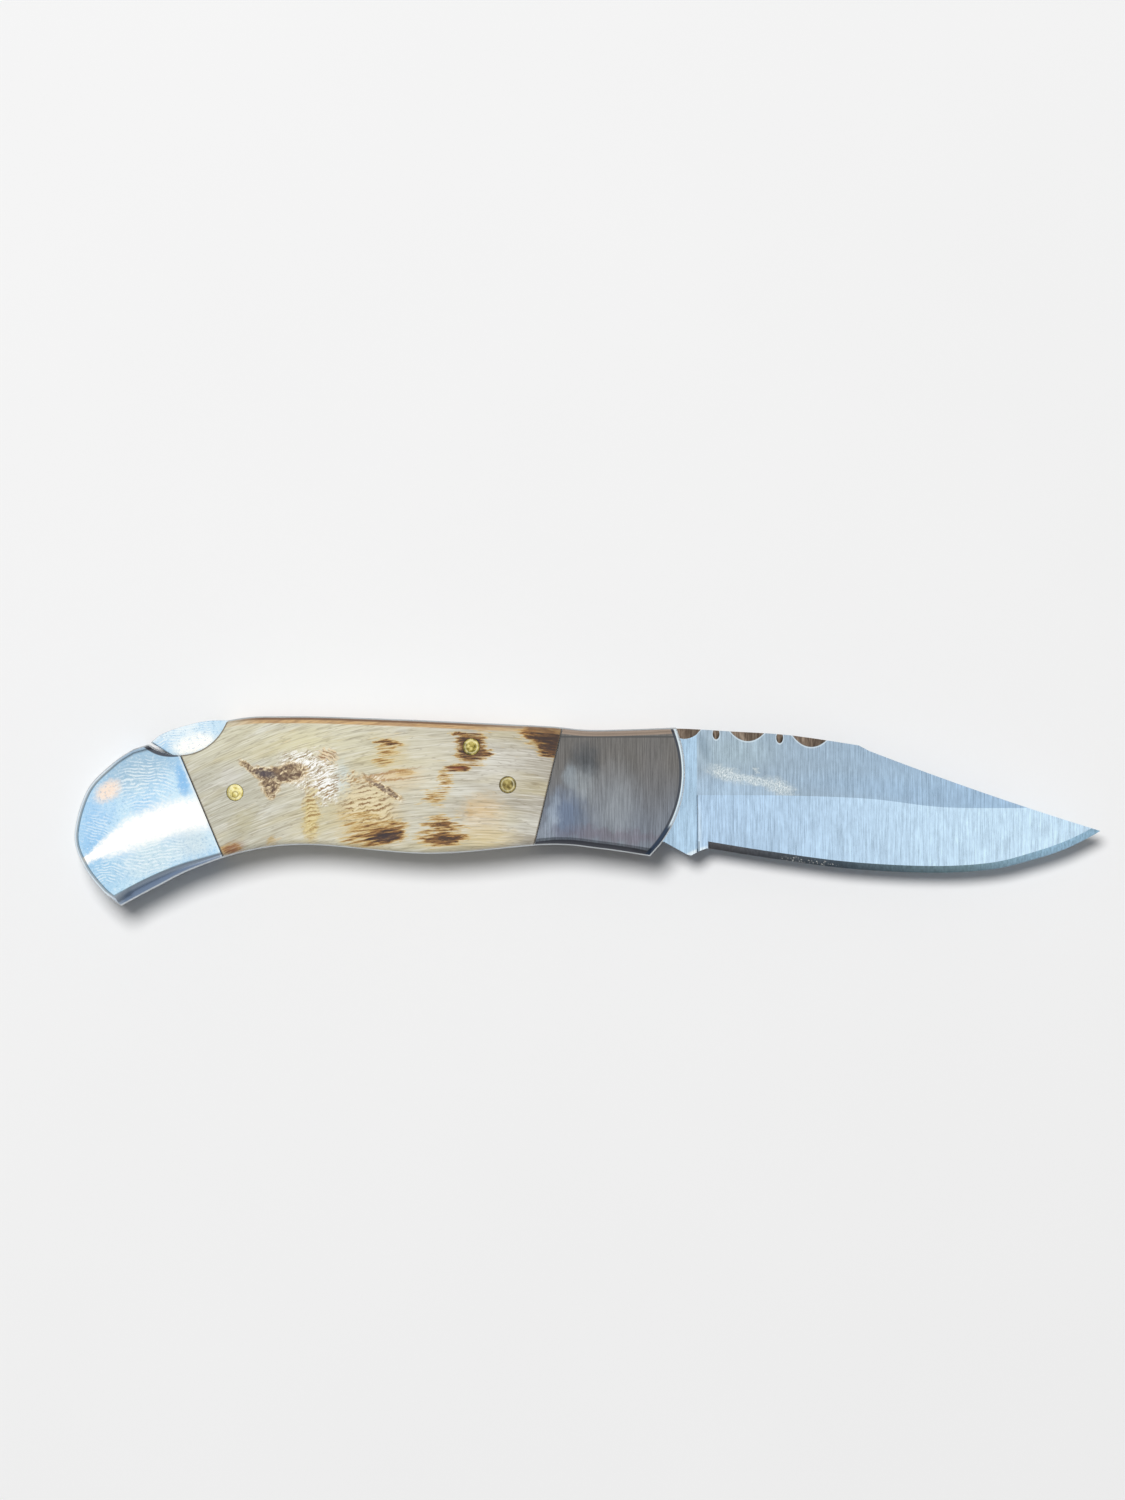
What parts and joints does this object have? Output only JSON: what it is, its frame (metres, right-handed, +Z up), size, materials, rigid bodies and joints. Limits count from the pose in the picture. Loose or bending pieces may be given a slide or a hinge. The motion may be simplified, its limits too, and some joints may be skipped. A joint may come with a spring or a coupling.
{
  "type": "folding pocket knife",
  "caption": "Folding pocket knife with a back lock, clip-point blade, steel bolsters and bone scales, shown open and lying on its side.",
  "frame": {"origin": "on the blade's pivot axis, in the plane that the knife lies on, which is the outer face of the lower front bolster", "axes": "+X along the knife towards the tip of the open blade, +Y towards the spine, +Z up through the thickness"},
  "size_m": [0.1501, 0.0277, 0.0117],
  "materials": {
    "blade_steel": "satin, brushed across the blade",
    "polished_steel": "polished",
    "brushed_steel": "brushed",
    "liner_steel": "satin",
    "spring_steel": "satin",
    "pin_steel": "satin",
    "bone": "polished bone with burnt marks",
    "brass": "polished"
  },
  "bodies": {
    "handle": {"liner_top": "liner_steel", "liner_bottom": "liner_steel", "front_bolster_top": "brushed_steel", "front_bolster_bottom": "brushed_steel", "rear_bolster_top": "polished_steel", "rear_bolster_bottom": "polished_steel", "scale_top": "bone", "scale_bottom": "bone", "blade_pivot_pin": "pin_steel", "lock_bar_pin": "brass", "butt_pin_upper": "pin_steel", "butt_pin_lower": "pin_steel", "front_rivet_top": "brass", "front_rivet_bottom": "brass", "rear_rivet_top": "brass", "rear_rivet_bottom": "brass", "butt_spacer": "spring_steel", "lock_spring": "spring_steel"},
    "blade": {"blade": "blade_steel"},
    "lock_bar": {"lock_bar": "polished_steel"}
  },
  "joints": [
    {"name": "blade_fold", "type": "hinge", "parent": "handle", "child": "blade", "pos_m": [0, 0, 0], "axis": [0, 0, -1], "range_deg": [0, 177]},
    {"name": "lock_release", "type": "hinge", "parent": "handle", "child": "lock_bar", "pos_m": [-0.022, 0.00954, 0], "axis": [0, 0, 1], "range_deg": [0, 3.5], "stiffness_Nm_per_rad": 1, "springref_deg": -5.73, "deforming": ["lock_spring"]}
  ]
}
